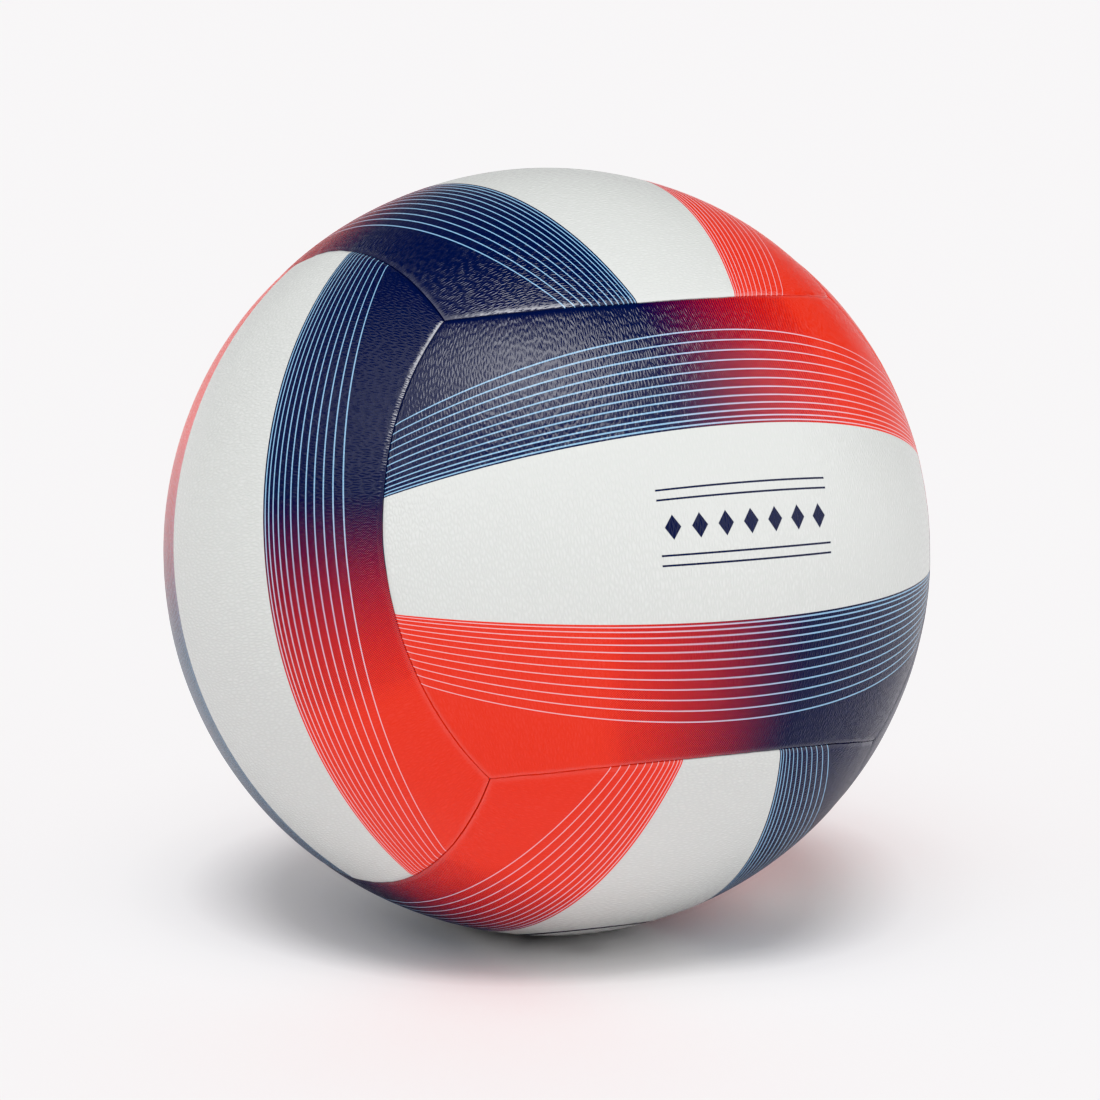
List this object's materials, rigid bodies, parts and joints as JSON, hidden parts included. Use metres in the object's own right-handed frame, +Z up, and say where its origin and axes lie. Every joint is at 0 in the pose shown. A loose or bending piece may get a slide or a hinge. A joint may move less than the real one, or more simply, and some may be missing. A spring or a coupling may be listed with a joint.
{
  "type": "volleyball",
  "caption": "Inflated stitched volleyball: crossed panels of printed synthetic leather over foam, cloth and an air bladder, with a needle valve.",
  "frame": {"origin": "the middle of the ball", "axes": "+Z up from the ground that the ball lies on; the front panel's middle faces -Y and a little up, and the left panel faces -X. The valve's axis leans 16.8 degrees from -Z, towards the front."},
  "size_m": [0.21, 0.21, 0.21],
  "materials": {
    "cover": "embossed synthetic leather, satin, printed white, navy and red",
    "foam": "soft closed-cell foam, matte",
    "lining": "woven cloth, matte",
    "thread": "waxed thread",
    "bladder": "smooth rubber",
    "valve": "moulded rubber, matte"
  },
  "bodies": {
    "root": {"cover_front": "cover", "cover_back": "cover", "cover_left": "cover", "cover_right": "cover", "cover_top": "cover", "cover_bottom": "cover", "foam_front": "foam", "foam_back": "foam", "foam_left": "foam", "foam_right": "foam", "foam_top": "foam", "foam_bottom": "foam", "lining_front": "lining", "lining_back": "lining", "lining_left": "lining", "lining_right": "lining", "lining_top": "lining", "lining_bottom": "lining", "thread_front_top": "thread", "thread_front_bottom": "thread", "thread_back_top": "thread", "thread_back_bottom": "thread", "thread_left_front": "thread", "thread_left_back": "thread", "thread_right_front": "thread", "thread_right_back": "thread", "thread_top_left": "thread", "thread_top_right": "thread", "thread_bottom_left": "thread", "thread_bottom_right": "thread", "bladder": "bladder", "valve_seat": "valve", "valve_plug": "valve", "valve_patch": "lining"}
  },
  "joints": []
}
